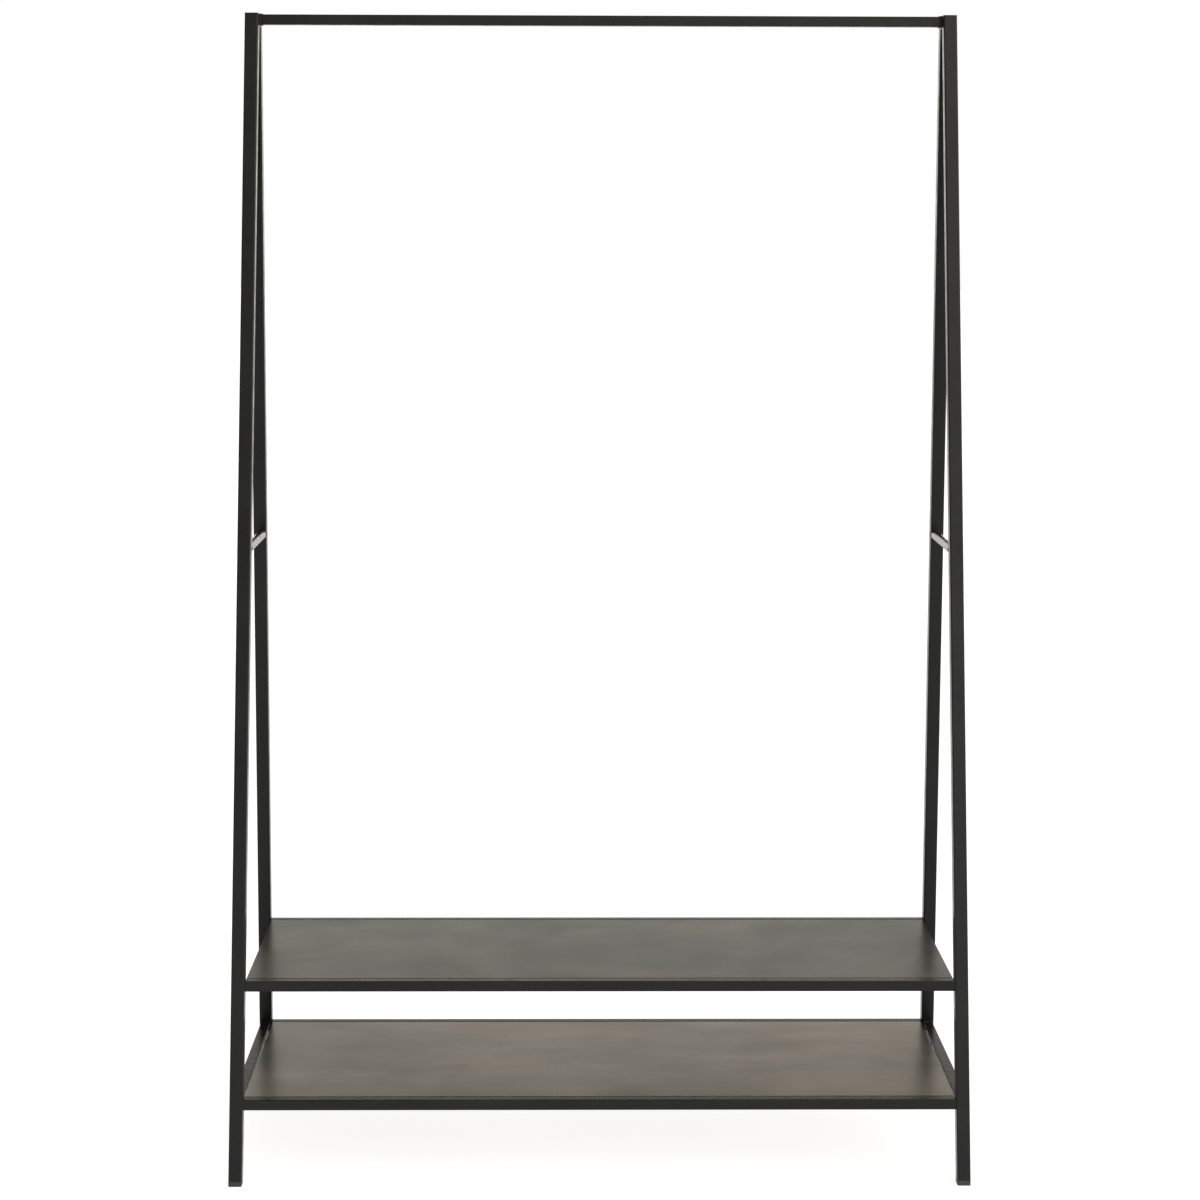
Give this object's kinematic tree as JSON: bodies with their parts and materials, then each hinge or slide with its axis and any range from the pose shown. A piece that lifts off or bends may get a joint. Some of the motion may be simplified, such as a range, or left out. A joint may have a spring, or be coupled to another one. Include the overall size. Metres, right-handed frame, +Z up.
{
  "type": "garment rail",
  "caption": "Free-standing A-frame garment rail in square steel tube, with a hanging rail between two side frames and two full-width sheet-steel shelves near the floor.",
  "frame": {"origin": "on the floor, under the middle of the rack", "axes": "+Z up, front faces -Y, +X to the right along the hanging rail"},
  "size_m": [1.1, 0.4496, 1.718],
  "materials": {
    "black_paint": "satin",
    "rod_finish": "gloss",
    "shelf_steel": "satin",
    "black_plastic": "matte",
    "zinc": "satin"
  },
  "bodies": {
    "frame": {"front_leg_left": "black_paint", "front_leg_right": "black_paint", "rear_leg_left": "black_paint", "rear_leg_right": "black_paint", "front_foot_left": "black_plastic", "front_foot_right": "black_plastic", "rear_foot_left": "black_plastic", "rear_foot_right": "black_plastic", "cross_rod_left": "rod_finish", "cross_rod_right": "rod_finish", "lower_side_rail_left": "black_paint", "lower_side_rail_right": "black_paint", "apex_web_left": "black_paint", "apex_web_right": "black_paint", "rail_socket_left": "black_paint", "rail_socket_right": "black_paint", "leg_top_caps": "black_paint", "leg_hole_plugs": "black_plastic", "top_rail": "black_paint", "top_rail_inserts": "zinc", "top_rail_bolts": "zinc", "upper_shelf_front_rail": "black_paint", "upper_shelf_rear_rail": "black_paint", "upper_shelf_ledges": "black_paint", "upper_shelf_inserts": "zinc", "upper_shelf_bolts": "zinc", "lower_shelf_front_rail": "black_paint", "lower_shelf_rear_rail": "black_paint", "lower_shelf_ledges": "black_paint", "lower_shelf_inserts": "zinc", "lower_shelf_bolts": "zinc"},
    "upper_panel": {"upper_shelf_panel": "shelf_steel", "upper_shelf_stiffener": "shelf_steel"},
    "lower_panel": {"lower_shelf_panel": "shelf_steel", "lower_shelf_stiffener": "shelf_steel"}
  },
  "joints": [
    {"name": "upper_panel_lift", "type": "slide", "parent": "frame", "child": "upper_panel", "axis": [0, 0, 1], "range_m": [0, 0.03]},
    {"name": "lower_panel_lift", "type": "slide", "parent": "frame", "child": "lower_panel", "axis": [0, 0, 1], "range_m": [0, 0.03]}
  ]
}
